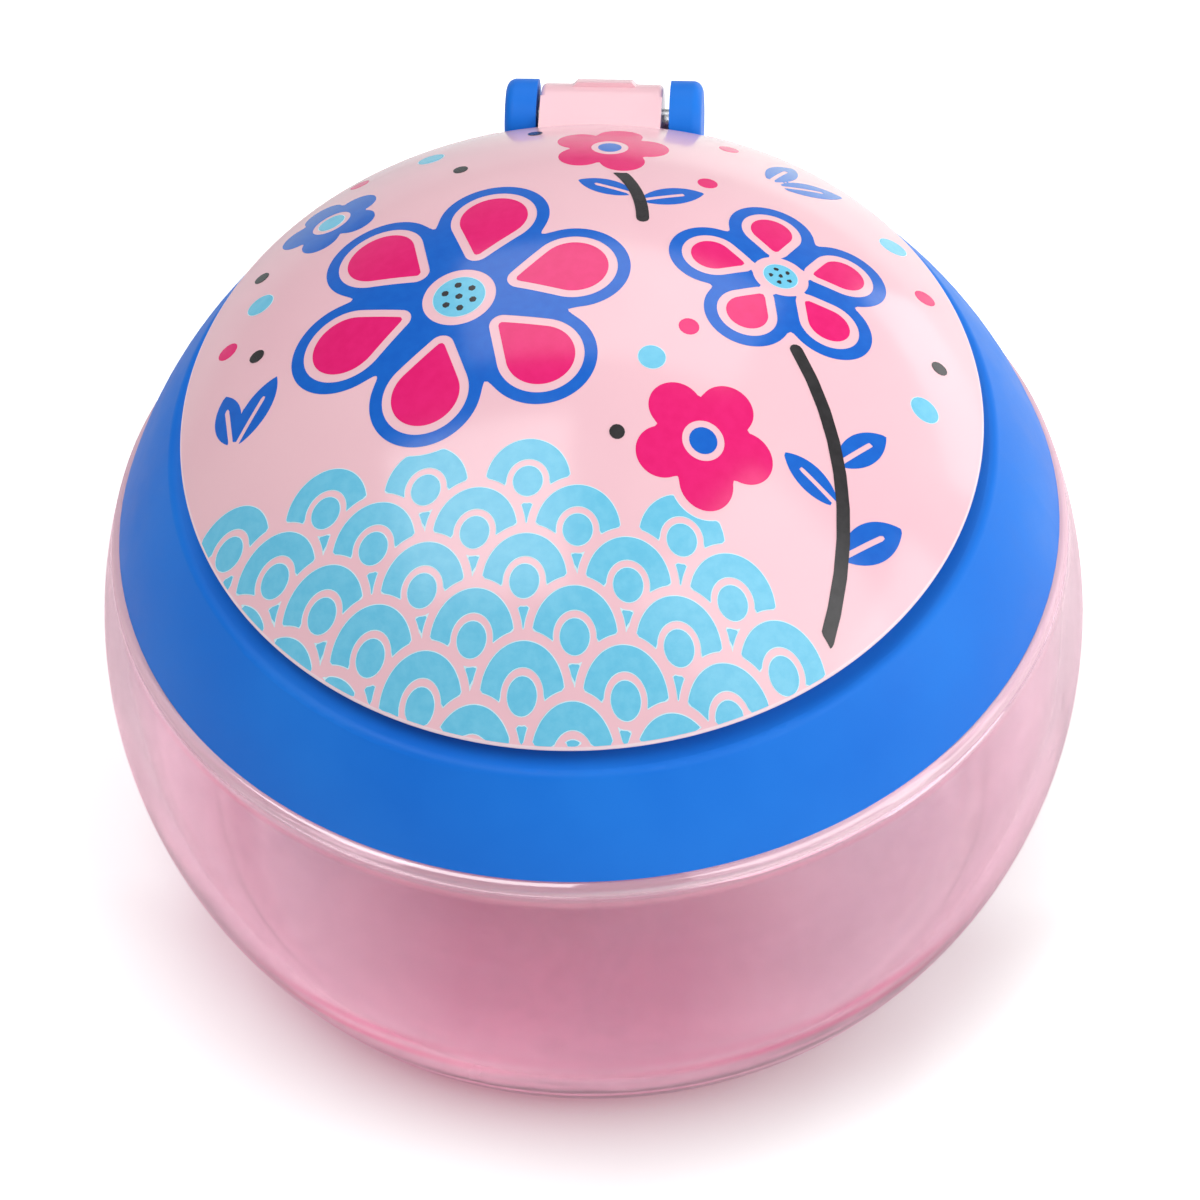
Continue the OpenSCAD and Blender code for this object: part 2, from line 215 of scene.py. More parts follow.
def bowl_material():
    """Clear plastic that is dyed all through, so a longer way through it is pinker. Its rim catches light."""
    s = material("bowl_clear")
    x, y, z = s.here()
    reach = s.span(x, y)
    wide = s.math("ABSOLUTE", x)

    def off(height):
        """Distance above or below a height."""
        return s.math("ABSOLUTE", s.math("SUBTRACT", z, height))

    # painted refraction: a darker pink line on the front of the side, fainter in the middle, for the floor's
    # edge seen bent through it
    painted_floor_line = s.times(s.ramp(off(PAINTED_FLOOR_LINE_Z), 0.4, 1.8, 1.0, 0.0), s.math("GREATER_THAN", reach, PAINTED_FLOOR_LINE_R),
                     s.ramp(wide, 4.0, 18.0, 0.35, 1.0), s.ramp(y, -30.0, -12.0, 1.0, 0.0))
    # painted shade: a darker pink line just under the rim's highlight, full at the front and back, faint at
    # the left and right
    under = s.times(s.ramp(off(UNDER_Z), 0.1, 0.5, 0.5, 0.0), s.math("GREATER_THAN", reach, UNDER_R),
                    s.ramp(wide, 30.0, 42.0, 1.0, 0.2))
    # both painted lines tint the clear plastic a darker pink
    tint = s.blend(s.most(painted_floor_line, under), WHITE, (1.0, 0.14, 0.34, 1.0))
    normal = s.bump(s.noise(42.0, 1.5, 0.45, 0.6), 0.0006, 0.25)
    rough = s.ramp(s.noise(150.0, 3.0), 0.3, 0.7, 0.03, 0.07)
    clear = s.principled(Base_Color=tint, Roughness=rough, Normal=normal, IOR=1.5, Transmission_Weight=1.0)

    bend = s.times(s.ramp(z, BEND_Z, BEND_Z + 0.5), s.math("LESS_THAN", z, BEND_TOP),
                   s.math("LESS_THAN", reach, BEND_R), 0.32)
    gleam = s.most(bend, s.ramp(z, LIP_Z + 0.3, LIP_Z + 0.7, 0.0, 0.18))
    gloss = s.add("ShaderNodeBsdfGlossy", Color=WHITE, Roughness=0.05, Normal=normal)
    glossy = s.mix(gleam, clear, gloss.outputs["BSDF"])

    # partly painted highlight: the rim is milky with a paler pink, its share higher at the left and right
    # than at the front and back
    lip = s.times(s.ramp(z, LIP_Z, LIP_Z + 0.6), s.math("GREATER_THAN", reach, LIP_R))
    haze = s.add("ShaderNodeBsdfDiffuse", Color=s.blend(lip, srgb(214, 166, 194), srgb(240, 200, 214)))
    cloudy = s.ramp(s.noise(60.0, 3.0, 0.55, 0.8), 0.3, 0.7, 0.02, 0.13)
    share = s.most(cloudy, s.times(lip, s.ramp(wide, 28.0, 42.0, 0.35, 0.85)))
    milky = s.mix(share, glossy, haze.outputs["BSDF"])

    # Light from lamps and other surfaces, and light that has been bent many times, goes straight through
    path = s.add("ShaderNodeLightPath")
    bent = s.math("GREATER_THAN", path.outputs["Ray Depth"], s.ramp(z, 26.0, 34.0, 6.5, 3.5))
    straight = s.most(bent, path.outputs["Is Shadow Ray"], path.outputs["Is Diffuse Ray"])
    through = s.add("ShaderNodeBsdfTransparent", Color=(0.97, 0.97, 0.97, 1.0))
    dye = s.add("ShaderNodeVolumeAbsorption", Color=(0.84, 0.58, 0.68, 1.0), Density=200.0)
    s.set(s.out, "Volume", dye.outputs["Volume"])
    return s.show(s.mix(straight, milky, through.outputs["BSDF"]))


def flap_material():
    s = material("flap_rubber")
    colour = s.blend(s.ramp(s.noise(70.0, 3.0), 0.35, 0.65), srgb(240, 214, 220), srgb(246, 224, 228))
    grain = s.bump(s.noise(3500.0), 0.00001, 0.4)
    return s.show(s.principled(Base_Color=colour, Roughness=0.6, Normal=grain, Subsurface_Weight=0.3,
                               Subsurface_Radius=(1.0, 0.7, 0.7), Subsurface_Scale=0.001))


def pin_material():
    s = material("pin_steel")
    lines = s.noise(4000.0)
    rough = s.ramp(lines, 0.3, 0.7, 0.22, 0.36)
    return s.show(s.principled(Base_Color=(0.62, 0.62, 0.64, 1.0), Metallic=1.0, Roughness=rough,
                               Normal=s.bump(lines, 0.000008, 0.3)))


def dress(names, finish):
    """Gives CAD nodes a material."""
    for name in names:
        data = nodes[name].data
        data.materials.clear()
        data.materials.append(finish)


LID_GLOSS = lid_material()
dress(["collar"], collar_material())
dress(["lid"], LID_GLOSS)
dress(["hinge_pin"], pin_material())
dress(["flap_ring"] + [f"flap_{i + 1}" for i in range(FLAPS)], flap_material())

# ---- The bowl, turned in fine steps to the sizes of its solid, in millimetres from the ball's centre ----
BALL_R, WALL, FLOOR = 47.3, 2.0, 2.4       # the ball's outside, and the thickness of its side and floor
FLAT_R = 20.0                              # each side of the floor is one flat face out to this radius
SHOULDER, UNDER_SHOULDER = 13.3, 11.3      # heights of the shoulder's top and of its underside
NECK_R, NECK_IN, NECK_TOP = 39.1679, 37.3679, 19.7
RIBS, LEAD = 4, 12.0                       # thread ribs round the neck, and their rise in a full turn
RIB_END, GAP_START, GAP_END = 70.0, 70.3, 89.7   # degrees from a rib's low end to its high end and the gap
RIB_LOW, RIB_OUT = 15.3333, 0.9            # height of a rib's low end, and how far it stands out
RIB_FLAT, RIB_FOOT = 0.4, 0.5731           # half heights of a rib at its crest and at the neck


def arc(r, z, radius, start, end, steps):
    """Points of an arc round (r, z), its ends in degrees from level."""
    turns = [math.radians(start + (end - start) * i / steps) for i in range(steps + 1)]
    return [(r + radius * math.cos(a), z + radius * math.sin(a)) for a in turns]


def bowl_outline():
    """The bowl's outline: outside up to the neck's foot, and inside down from the neck's top.

    Each rounding has the radius where its centre lies, its own radius, and the angle where it meets the ball.
    """
    foot_r, foot_round, foot_turn = 36.565, 4.0, -32.4
    rim_r, rim_round, rim_turn = 44.717, 0.9, 15.5
    under_r, under_round, under_turn = 42.614, 1.6, 12.82
    hollow_r, hollow_round, hollow_turn = 35.105, 5.0, -29.42
    outside = [(FLAT_R, -BALL_Z), (foot_r, -BALL_Z)]
    outside += arc(foot_r, foot_round - BALL_Z, foot_round, -90, foot_turn, steps=12)[1:]
    outside += arc(0, 0, BALL_R, foot_turn, rim_turn, steps=52)[1:]
    outside += arc(rim_r, SHOULDER - rim_round, rim_round, rim_turn, 90, steps=12)[1:]
    outside += [(42.0, SHOULDER), (NECK_R, SHOULDER)]
    inside = [(NECK_R, NECK_TOP), (NECK_IN, NECK_TOP), (NECK_IN, 15.0)]
    inside += [(NECK_IN, UNDER_SHOULDER), (40.0, UNDER_SHOULDER)]
    inside += arc(under_r, UNDER_SHOULDER - under_round, under_round, 90, under_turn, steps=12)
    inside += arc(0, 0, BALL_R - WALL, under_turn, hollow_turn, steps=46)[1:]
    inside += arc(hollow_r, FLOOR + hollow_round - BALL_Z, hollow_round, hollow_turn, -90, steps=14)[1:]
    inside.append((FLAT_R, FLOOR - BALL_Z))
    return outside, inside


def bowl_body():
    """The outline turned round the axis, with the thread's ribs between its outside and its inside."""
    outside, inside = bowl_outline()
    quarter = [*np.linspace(0, RIB_END, 99).tolist(), *np.linspace(GAP_START, GAP_END, 29).tolist()]
    points, columns = [], RIBS * len(quarter)
    for column in range(columns):
        place = quarter[column % len(quarter)]
        ribbed = place <= RIB_END
        way = place if ribbed else (GAP_END - place) / (GAP_END - GAP_START) * RIB_END
        middle = RIB_LOW + way * LEAD / 360
        crest = NECK_R + (RIB_OUT if ribbed else 0.0)
        rib = [(NECK_R, middle - RIB_FOOT), (crest, middle - RIB_FLAT),
               (crest, middle + RIB_FLAT), (NECK_R, middle + RIB_FOOT)]
        a = math.radians(place + 360 / RIBS * (column // len(quarter)))
        ring = outside + rib + inside
        points += [(r * math.cos(a) * MM, r * math.sin(a) * MM, (z + BALL_Z) * MM) for r, z in ring]
    rows = len(ring)
    faces = []
    for i in range(columns):
        near, far = i * rows, (i + 1) % columns * rows
        faces += [(near + j, far + j, far + j + 1, near + j + 1) for j in range(rows - 1)]
    faces.append([i * rows for i in reversed(range(columns))])
    faces.append([i * rows + rows - 1 for i in range(columns)])
    mesh = bpy.data.meshes.new("bowl_body")
    mesh.from_pydata(points, [], faces)
    mesh.shade_smooth()
    mesh.set_sharp_from_angle(angle=math.radians(35))
    mesh.materials.append(bowl_material())
    piece = bpy.data.objects.new("bowl_body", mesh)
    bpy.context.scene.collection.objects.link(piece)
    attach(piece, "bowl")
    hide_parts("bowl")


bowl_body()

# ---- The print on the lid, in millimetres of the leaning frame: x to the right, b to the back ----
GRID = 0.3        # spacing of an ink layer's mesh
SNAP = 0.004      # a grid point nearer than this to a layer's edge counts as inside it
PRINT_R = 37.5    # the print ends where the dome meets the rounding of the lid's rim
FILM, SUNK = 0.025, 0.05   # how far one film of ink stands out of the dome, and how deep its underside lies
BARE = 0.85       # width of the bare line between two inks


def unit_normals(lifted):
    """Unit normals of a surface, from the function that gives its points lifted by so many millimetres."""
    ways = lifted(1000.0) - lifted(0.0)
    return ways / np.linalg.norm(ways, axis=1)[:, None]


def film(name, finish, top, low, normals, faces):
    """A closed thin layer on the lid, between the points top and low, with the faces given for its top.

    Its top is shaded by the normals given, so that the facets don't show in the gloss.
    """
    used = {(p, q) for face in faces for p, q in zip(face, face[1:] + face[:1])}
    rim = [(p, q) for p, q in used if (q, p) not in used]
    count = len(top)
    under = [[v + count for v in reversed(face)] for face in faces]
    walls = [(q, p, p + count, q + count) for p, q in sorted(rim)]
    mesh = bpy.data.meshes.new(name)
    mesh.from_pydata(np.vstack([top, low]).tolist(), [], faces + under + walls)
    split = [tuple(normals[v]) for face in faces for v in face]
    split += [tuple(-normals[v - count]) for face in under for v in face]
    for q, p, _, _ in walls:
        side = Vector(top[q] - top[p]).cross(Vector(normals[p])).normalized()
        split += [tuple(side)] * 4
    mesh.normals_split_custom_set(split)
    mesh.materials.append(finish)
    piece = bpy.data.objects.new(name, mesh)
    bpy.context.scene.collection.objects.link(piece)
    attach(piece, "lid")


def lid_face():
    """The polished outside of the lid, turned in fine steps from its top to the underside of its rim."""
    turns = 640
    proud, depth = 0.012, 0.12   # the film's top and underside, above and below the solid lid's surface
    tip, ledge = 0.002, 0.4      # the angle of the smallest ring, and how far in under the rim the film goes
    slope = math.atan2(RIM_R, RIM_Z - DOME_Z)
    outline = [(DOME_R * math.sin(a), DOME_Z + DOME_R * math.cos(a), a) for a in np.linspace(tip, slope, 60)]
    outline += [(RIM_R + RIM_ROUND * math.sin(a), RIM_Z + RIM_ROUND * math.cos(a), a)
                for a in np.linspace(slope, math.pi, 14)[1:]]
    outline.append((RIM_R - ledge, RIM_Z - RIM_ROUND, math.pi))
    r, z, lean = np.array(outline).T
    turn = np.arange(turns)[:, None] * 2 * math.pi / turns

    def turned(height):
        reach = r + np.sin(lean) * height
        rise = np.broadcast_to(z + np.cos(lean) * height, (turns, len(r)))
        return from_deck((reach * np.cos(turn)).ravel(), (reach * np.sin(turn)).ravel(), rise.ravel())

    x, b = (r * np.cos(turn)).ravel(), (r * np.sin(turn)).ravel()
    cut = (np.abs(x) < EAR_OUT) & (b > RELIEF_B)
    rows = len(r)
    faces = []
    for i in range(turns):
        near, far = i * rows, (i + 1) % turns * rows
        for j in range(rows - 1):
            face = [near + j, near + j + 1, far + j + 1, far + j]
            if not cut[face].any():
                faces.append(face)
    faces.append([i * rows for i in range(turns)])
    film("lid_face", LID_GLOSS, turned(proud), turned(-depth), unit_normals(turned), faces)


def traced(field):
    """Flat mesh of where field is positive on the print: the squares of a grid, cut where it is nought."""
    n = int(2 * PRINT_R / GRID) + 2
    line = (np.arange(n + 1) - n / 2) * GRID
    x, b = np.meshgrid(line, line, indexing="ij")
    f = np.minimum(field(x, b), PRINT_R - np.hypot(x, b))
    f = np.where(np.abs(f) < SNAP, SNAP, f)
    flat, keys, faces = [], {}, []

    def corner(i, j):
        key = (i, j)
        if key not in keys:
            keys[key] = len(flat)
            flat.append((line[i], line[j]))
        return keys[key]

    def crossing(p, q):
        key = (min(p, q), max(p, q))
        if key not in keys:
            (i, j), (k, m) = key
            t = f[i, j] / (f[i, j] - f[k, m])
            keys[key] = len(flat)
            flat.append((line[i] + t * (line[k] - line[i]), line[j] + t * (line[m] - line[j])))
        return keys[key]

    inside = f > 0
    some = inside[:-1, :-1] | inside[1:, :-1] | inside[:-1, 1:] | inside[1:, 1:]
    for i, j in zip(*(places.tolist() for places in np.nonzero(some))):
        loop = [(i, j), (i + 1, j), (i + 1, j + 1), (i, j + 1)]
        face = []
        for p, q in zip(loop, loop[1:] + loop[:1]):
            if inside[p]:
                face.append(corner(*p))
            if inside[p] != inside[q]:
                face.append(crossing(p, q))
        if len(face) > 2:
            faces.append(face)
    return np.array(flat), faces


def ink(name, finish, field, level):
    """An ink layer that stands level films out of the dome wherever field is positive at a point (x, b)."""
    flat, faces = traced(field)
    up = np.sqrt(DOME_R ** 2 - flat[:, 0] ** 2 - flat[:, 1] ** 2)
    out = np.stack([flat[:, 0], flat[:, 1], up], axis=-1) / DOME_R

    def lifted(height):
        p = out * (DOME_R + height)
        return from_deck(p[:, 0], p[:, 1], p[:, 2] + DOME_Z)

    film(name, finish, lifted(FILM * level), lifted(-SUNK), unit_normals(lifted), faces)


# ---- Fields: each is positive inside its shape and falls off by one a millimetre ----
def disc(x, b, place, r):
    return r - np.hypot(x - place[0], b - place[1])


def union(fields):
    return np.maximum.reduce(list(fields))


def without(field, other, gap=BARE):
    """A field kept clear of another one by a bare line."""
    return np.minimum(field, -gap - other)


def soft_union(first, second, k):
    """Two fields joined with a rounded inner corner about k wide."""
    share = np.clip(0.5 + 0.5 * (first - second) / k, 0, 1)
    return second + (first - second) * share + k * share * (1 - share)


def polar(place, reach, degrees):
    a = math.radians(degrees)
    return place[0] + reach * math.cos(a), place[1] + reach * math.sin(a)


def segment(x, b, start, end):
    """Share of the way from start to end, and distance from that straight line."""
    du, dv = end[0] - start[0], end[1] - start[1]
    t = np.clip(((x - start[0]) * du + (b - start[1]) * dv) / (du * du + dv * dv), 0, 1)
    return t, np.hypot(x - start[0] - t * du, b - start[1] - t * dv)


def drop(x, b, start, end, r_start, r_end):
    """A round-ended drop: the hull of a disc at start and one at end."""
    length = math.hypot(end[0] - start[0], end[1] - start[1])
    du, dv = (end[0] - start[0]) / length, (end[1] - start[1]) / length
    u = (x - start[0]) * du + (b - start[1]) * dv
    v = np.abs((b - start[1]) * du - (x - start[0]) * dv)
    lean = (r_start - r_end) / length
    flank = math.sqrt(1 - lean ** 2)
    along = flank * u - lean * v
    side = r_start - flank * v - lean * u
    return np.where(along < 0, r_start - np.hypot(u, v),
                    np.where(along > flank * length, r_end - np.hypot(u - length, v), side))


def leaf(x, b, root, degrees, length, half):
    """A pointed leaf between two arcs, with its root at root."""
    middle = polar(root, length / 2, degrees)
    r = (length ** 2 / 4 + half ** 2) / (2 * half)
    sides = [disc(x, b, polar(middle, r - half, degrees + turn), r) for turn in (90, -90)]
    return np.minimum(*sides)


def bow(start, end, bulge, steps=10):
    """Points of an arched line from start to end."""
    across = (-(end[1] - start[1]) * bulge, (end[0] - start[0]) * bulge)
    ways = [i / steps for i in range(steps + 1)]
    return [(start[0] + t * (end[0] - start[0]) + 4 * t * (1 - t) * across[0],
             start[1] + t * (end[1] - start[1]) + 4 * t * (1 - t) * across[1]) for t in ways]


def stroke(x, b, points, half):
    return union(half - segment(x, b, p, q)[1] for p, q in zip(points, points[1:]))


def discs(x, b, places, r):
    return union(disc(x, b, place, r) for place in places)


class Flower:
    """A flower with round petals, each of which may hold a drop-shaped cell, and with a round eye."""
    CORE, MELT, CELL_ROOT = 0.5, 0.08, 0.36    # shares of r: middle disc, rounding of corners, cells' start
    CELL_ROOT_R, CELL_GAP = 0.35, 2.4 * BARE   # a cell's radius at its start, and its gap to the petal's edge
    PETAL = 0.648                              # a petal's radius, as a share of half the way from tip to tip

    def __init__(self, place, r, petals, turn, eye_share):
        self.place, self.r, self.eye_r = place, r, eye_share * r
        self.turns = [turn + 360 / petals * i for i in range(petals)]
        self.petal_r = self.PETAL * r * math.sin(math.pi / petals)
        self.petals = [polar(place, r - self.petal_r, turn) for turn in self.turns]

    def form(self, x, b):
        total = disc(x, b, self.place, self.CORE * self.r)
        for petal in self.petals:
            total = soft_union(total, disc(x, b, petal, self.petal_r), self.MELT * self.r)
        return total

    def cells(self, x, b):
        roots = [polar(self.place, self.CELL_ROOT * self.r, turn) for turn in self.turns]
        end_r = self.petal_r - self.CELL_GAP
        return union(drop(x, b, root, end, self.CELL_ROOT_R, end_r) for root, end in zip(roots, self.petals))

    def eye(self, x, b):
        return disc(x, b, self.place, self.eye_r)

    def seeds(self, x, b, reach, r):
        """A small disc in the eye's middle and one for each petal round it."""
        return discs(x, b, [polar(self.place, reach, turn + 20) for turn in self.turns] + [self.place], r)


ROSETTE = Flower((-10.8, 2.6), 16.2, 6, 77, 0.15)
BLOOM = Flower((18.6, 8.2), 10.4, 5, 100, 0.15)
BUD_FRONT = Flower((12.4, -12.4), 6.4, 5, 60, 0.2)
BUD_BACK = Flower((1.6, 26.6), 5.6, 5, 78, 0.2)
BUD_LEFT = Flower((-24.6, 19.4), 4.9, 5, 40, 0.26)
STEMS = [bow((22.8, -30.0), (20.4, -0.6), -0.12), bow((5.6, 13.2), (2.0, 22.2), -0.08)]
LEAVES = [  # root, direction in degrees, length
    ((25.0, -19.6), 42, 7.4), ((24.8, -15.2), 146, 6.2), ((24.4, -11.4), 48, 6.6), ((4.7, 17.0), 158, 6.0),
    ((5.0, 16.0), 24, 6.6), ((-31.6, -7.4), 58, 7.0), ((-32.0, -7.0), 100, 6.2), ((17.6, 23.6), 28, 6.8),
    ((16.8, 24.2), 72, 6.4),
]
LEAF_HALF, VEIN_REACH = 0.21, 0.68   # a leaf's half width and its vein's length, as shares of its own length
VEIN_HALF = 0.22
STEM_HALF, STEM_GAP = 0.6, 0.5
GROUND_EDGE = 0.07   # how far the pale ground shows round the cyan
CYAN_DOTS = [(-15.8, 28.4), (28.6, 20.2), (7.4, -4.6), (32.2, -1.6), (-30.6, 9.6)]
MAGENTA_DOTS = [(-22.8, 27.6), (12.6, 30.8), (-33.4, 5.0), (10.6, -0.6), (11.2, 20.8), (31.8, 13.6)]
BLACK_DOTS = [(-30.2, 2.2), (4.6, -12.6), (33.4, 4.4), (-12.4, 23.4), (-31.0, 14.4), (-6.0, 31.6)]
CYAN_DOT_R, MAGENTA_DOT_R, BLACK_DOT_R = 1.25, 0.95, 0.72
SCALE_R, SCALE_ROW, SCALE_ROWS = 4.7, 4.2, 7   # a wave scale, the step from row to row, and how many rows
SCALE_TOP, SCALE_SHIFT = -13.2, 1.4            # where the back row lies, and the pattern's shift to the right
SCALE_EYE, SCALE_RING = 1.35, 2.0              # the spot inside a scale, and the inner radius of its ring


def hills(x):
    """Upper edge of the wave pattern."""
    return -17.5 - 0.21 * x - 0.005 * x ** 2


def scale_places():
    """Centres of the scales, row by row towards the front."""
    for row in range(SCALE_ROWS):
        level = SCALE_TOP - SCALE_ROW * row
        for i in range(-5, 6):
            across = SCALE_R * (2 * i + row % 2) + SCALE_SHIFT
            if level < hills(across):
                yield across, level


def waves(x, b):
    """Overlapping round scales, each a ring round a spot, the front rows on top."""
    total = np.full_like(x, -SCALE_R)
    for place in scale_places():
        far = np.hypot(x - place[0], b - place[1])
        ring = np.minimum(far - SCALE_RING, SCALE_R - BARE - far)
        total = np.maximum(np.minimum(total, far - SCALE_R), np.maximum(SCALE_EYE - far, ring))
    return total


def cyan_field(x, b):
    eyes = [flower.eye(x, b) for flower in (ROSETTE, BLOOM, BUD_LEFT)]
    before = union(flower.form(x, b) for flower in (ROSETTE, BUD_FRONT))
    return union([without(waves(x, b), before)] + eyes + [discs(x, b, CYAN_DOTS, CYAN_DOT_R)])


def cyan_ground_field(x, b):
    """The pale ground under the cyan, a little wider than it."""
    return cyan_field(x, b) + GROUND_EDGE


def blue_field(x, b):
    parts = [bud.eye(x, b) for bud in (BUD_FRONT, BUD_BACK)]
    parts.append(without(BUD_LEFT.form(x, b), BUD_LEFT.eye(x, b), 0.7 * BARE))
    for flower in (ROSETTE, BLOOM):
        part = without(flower.form(x, b), flower.cells(x, b))
        parts.append(without(part, flower.eye(x, b), 1.2 * BARE))
    for root, degrees, length in LEAVES:
        vein = stroke(x, b, [root, polar(root, VEIN_REACH * length, degrees)], VEIN_HALF)
        parts.append(without(leaf(x, b, root, degrees, length, LEAF_HALF * length), vein, 0.0))
    return union(parts)


def magenta_field(x, b):
    parts = [flower.cells(x, b) for flower in (ROSETTE, BLOOM)]
    parts += [without(bud.form(x, b), bud.eye(x, b), 0.75 * BARE) for bud in (BUD_FRONT, BUD_BACK)]
    return union(parts + [discs(x, b, MAGENTA_DOTS, MAGENTA_DOT_R)])


def black_field(x, b):
    seeds = [ROSETTE.seeds(x, b, 1.45, 0.36), BLOOM.seeds(x, b, 0.9, 0.26)]
    flowers = union(flower.form(x, b) for flower in (ROSETTE, BLOOM, BUD_FRONT, BUD_BACK))
    before = np.maximum(flowers, discs(x, b, scale_places(), SCALE_R))
    stems = [without(stroke(x, b, stem, STEM_HALF), before, STEM_GAP) for stem in STEMS]
    return union(seeds + stems + [discs(x, b, BLACK_DOTS, BLACK_DOT_R)])


WHITE_INK = ink_material("ink_white", srgb(206, 238, 248), srgb(222, 244, 250), rough=0.3, pebble=0.0)
CYAN_INK = ink_material("ink_cyan", srgb(108, 200, 234), srgb(120, 207, 238), rough=0.22, pebble=0.55)
BLUE_INK = ink_material("ink_blue", srgb(18, 100, 205), srgb(22, 106, 210), rough=0.15, pebble=0.1)
MAGENTA_INK = ink_material("ink_magenta", srgb(236, 26, 116), srgb(240, 32, 122), rough=0.15, pebble=0.1)
BLACK_INK = ink_material("ink_black", srgb(44, 42, 44), srgb(52, 50, 52), rough=0.25, pebble=0.3)

lid_face()
ink("ink_cyan_ground", WHITE_INK, cyan_ground_field, level=1)
ink("ink_cyan", CYAN_INK, cyan_field, level=2)
ink("ink_blue", BLUE_INK, blue_field, level=1.4)
ink("ink_magenta", MAGENTA_INK, magenta_field, level=1.2)
ink("ink_black", BLACK_INK, black_field, level=2.6)

# ---- Camera at the photograph's angle, in millimetres ----
FOCAL_PX, FRAME_PX = 7092.7, 1200.0
SENSOR = 36.0
DISTANCE, ELEVATION = 686.0, math.radians(48.403)
AIM_X, AIM_Z, ROLL, YAW = 0.67, 28.80, math.radians(-3.11), math.radians(5.63)


def photo_camera():
    """The camera that fits the photograph's outlines: aimed, rolled, and then turned round the axis."""
    aim = Vector((AIM_X, 0, AIM_Z))
    eye = aim + DISTANCE * Vector((0, -math.cos(ELEVATION), math.sin(ELEVATION)))
    ahead = (aim - eye).normalized()
    right = ahead.cross(Vector((0, 0, 1))).normalized()
    above = right.cross(ahead)
    side = math.cos(ROLL) * right + math.sin(ROLL) * above
    top = -math.sin(ROLL) * right + math.cos(ROLL) * above
    columns = [Matrix.Rotation(YAW, 3, "Z") @ v for v in (side, top, -ahead, eye * MM)]
    lens = bpy.data.cameras.new("camera")
    lens.sensor_width = SENSOR
    lens.lens = FOCAL_PX / FRAME_PX * SENSOR
    lens.clip_start, lens.clip_end = 0.05, 20.0
    camera = bpy.data.objects.new("camera", lens)
    camera.matrix_world = Matrix([[column[row] for column in columns] for row in range(3)] + [[0, 0, 0, 1]])
    bpy.context.scene.collection.objects.link(camera)
    return camera


bpy.context.scene.camera = photo_camera()

# ---- Floor, light and background, in metres ----
FLOOR_Z, FLOOR_HALF = -0.00015, 3.0


def floor_material():
    """White paper; places on it are in millimetres from the bowl's axis.

    The camera sees it a little over white, as a bright studio sweep, painted brighter to the right of the
    bowl, with a painted darker pink shadow close under the front of the bowl. Far off, in low views, it is
    plain white to the camera, as the world beyond it is.
    Through the bowl it shows painted light that stands in for the light the bowl's walls throw on it: a
    darker pink painted shade in the middle, bright patches to each side and a pinkish ring round the foot. In
    gloss it shows a
    painted reflection: pinkish near the bowl, darker far off to the left and brighter far off to the right.
    """
    s = material("floor_white")
    path = s.add("ShaderNodeLightPath")
    x, y, _ = s.here()
    reach = s.span(x, y)
    # painted shadow: to the camera the floor is tinted darker pink where the ambient occlusion node finds the
    # bowl close above, kept to the front and weaker at the sides
    near = s.add("ShaderNodeAmbientOcclusion", Distance=0.02, samples=8)
    beside = s.most(s.ramp(y, -34.0, -12.0), s.ramp(s.math("ABSOLUTE", x), 10.0, 34.0, 0.0, 0.7))
    clear = s.most(s.ramp(near.outputs["AO"], 0.2, 0.7), beside)
    # painted light: to the camera the floor is made brighter to the right of the bowl
    bright = s.blend(s.ramp(x, 5.0, 50.0), (1.42, 1.42, 1.42, 1.0), (1.72, 1.78, 1.74, 1.0))
    seen = s.blend(clear, (0.96, 0.78, 0.80, 1.0), bright)

    # painted light seen through the bowl: a darker pink shade in the middle, bright patches to each side and
    # a pinkish ring round the foot, for the light the walls bend onto it
    glints = s.most(s.ramp(x, 9.0, 27.0), s.ramp(x, -12.0, -30.0, 0.0, 0.8))
    under = s.blend(glints, (1.62, 0.88, 1.14, 1.0), (1.95, 2.15, 2.05, 1.0))
    through = s.blend(s.ramp(reach, 36.0, 40.0), under, (1.74, 1.36, 1.5, 1.0))
    through = s.blend(s.ramp(reach, 50.0, 62.0), through, (1.1, 1.05, 1.06, 1.0))

    # painted reflection in gloss: pinkish near the bowl, darker far off to the left and brighter far off to
    # the right
    across = s.ramp(x, -50.0, 50.0)
    close = s.blend(across, (1.22, 0.94, 1.02, 1.0), (1.3, 1.08, 1.14, 1.0))
    away = s.blend(across, (0.6, 0.68, 0.68, 1.0), (1.35, 1.5, 1.42, 1.0))
    mirrored = s.blend(s.ramp(reach, 70.0, 120.0), close, away)

    colour = s.blend(path.outputs["Is Glossy Ray"], (0.86, 0.86, 0.86, 1.0), mirrored)
    colour = s.blend(path.outputs["Is Transmission Ray"], colour, through)
    paper = s.add("ShaderNodeBsdfDiffuse", Color=s.blend(path.outputs["Is Camera Ray"], colour, seen))
    sweep = s.add("ShaderNodeEmission", Color=WHITE, Strength=1.0)
    distant = s.times(path.outputs["Is Camera Ray"], s.ramp(reach, 180.0, 360.0))
    return s.show(s.mix(distant, paper.outputs["BSDF"], sweep.outputs["Emission"]))


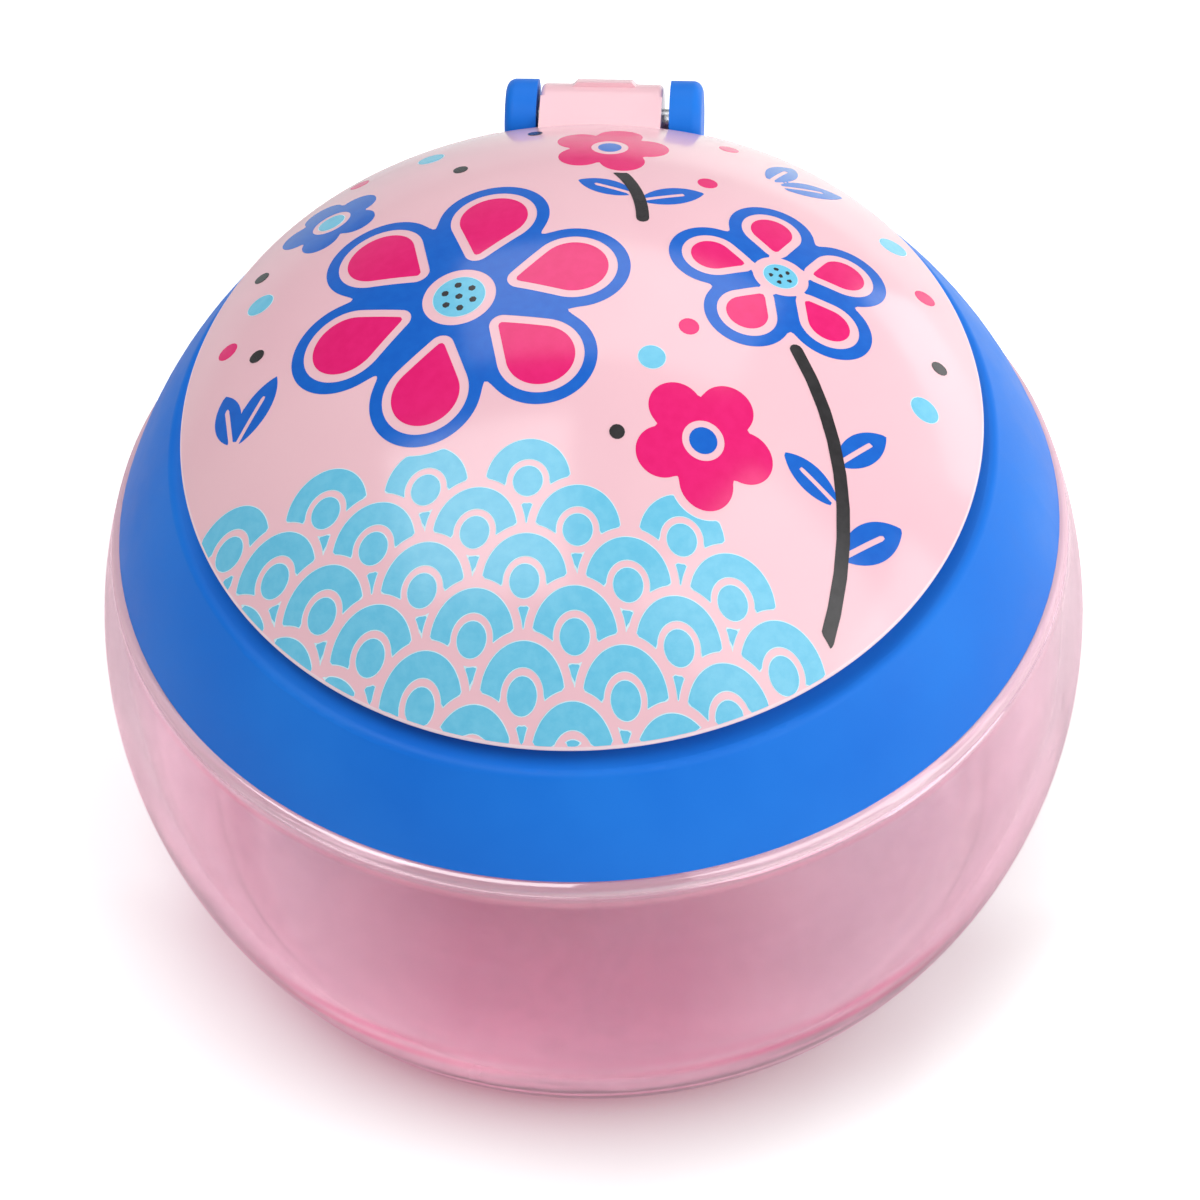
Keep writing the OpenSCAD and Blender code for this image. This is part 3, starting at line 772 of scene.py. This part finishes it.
floor_mesh = bpy.data.meshes.new("floor")
floor_corners = [(x * FLOOR_HALF, y * FLOOR_HALF, FLOOR_Z) for x, y in ((-1, -1), (1, -1), (1, 1), (-1, 1))]
floor_mesh.from_pydata(floor_corners, [], [(0, 1, 2, 3)])
floor_mesh.materials.append(floor_material())
floor = bpy.data.objects.new("floor", floor_mesh)
bpy.context.scene.collection.objects.link(floor)


def softbox(name, place, target, width, height, power):
    """A rectangular lamp at place that faces target; its power is in watts."""
    lamp = bpy.data.lights.new(name, "AREA")
    lamp.shape = "RECTANGLE"
    lamp.size, lamp.size_y = width, height
    lamp.energy = power
    obj = bpy.data.objects.new(name, lamp)
    bpy.context.scene.collection.objects.link(obj)
    obj.location = place
    obj.rotation_euler = (Vector(target) - Vector(place)).to_track_quat("-Z", "Y").to_euler()


softbox("softbox_left", (-0.45, -0.22, 1.05), (-0.45, -0.22, 0.0), 0.8, 0.75, 6.0)
softbox("softbox_right", (0.66, -0.40, 0.72), (0.0, 0.0, 0.04), 0.80, 0.80, 4.1)
softbox("softbox_back", (0.05, 0.75, 0.95), (0.0, 0.0, 0.03), 1.1, 0.7, 4.1)
softbox("strip_right", (0.85, -0.15, 0.22), (0.0, 0.0, 0.02), 0.5, 0.35, 1.3)
softbox("strip_back", (0.72, 0.62, 0.14), (0.0, 0.0, 0.04), 0.6, 0.25, 0.9)


def studio_world():
    """White to the camera and through the bowl; as light a soft grey, brighter low down and to the right."""
    s = Shader(bpy.data.worlds.new("studio"), "ShaderNodeOutputWorld")
    path = s.add("ShaderNodeLightPath")
    x, _, z = s.axes(s.add("ShaderNodeTexCoord").outputs["Generated"])
    room = s.times(s.ramp(z, 0.12, 0.42, 0.42, 0.2), s.ramp(x, -1.0, 1.0, 0.55, 1.5))
    level = s.most(path.outputs["Is Camera Ray"], path.outputs["Is Transmission Ray"], room)
    return s.show(s.add("ShaderNodeBackground", Color=WHITE, Strength=level).outputs["Background"])


bpy.context.scene.world = studio_world()
bpy.context.scene.view_settings.view_transform = "Standard"
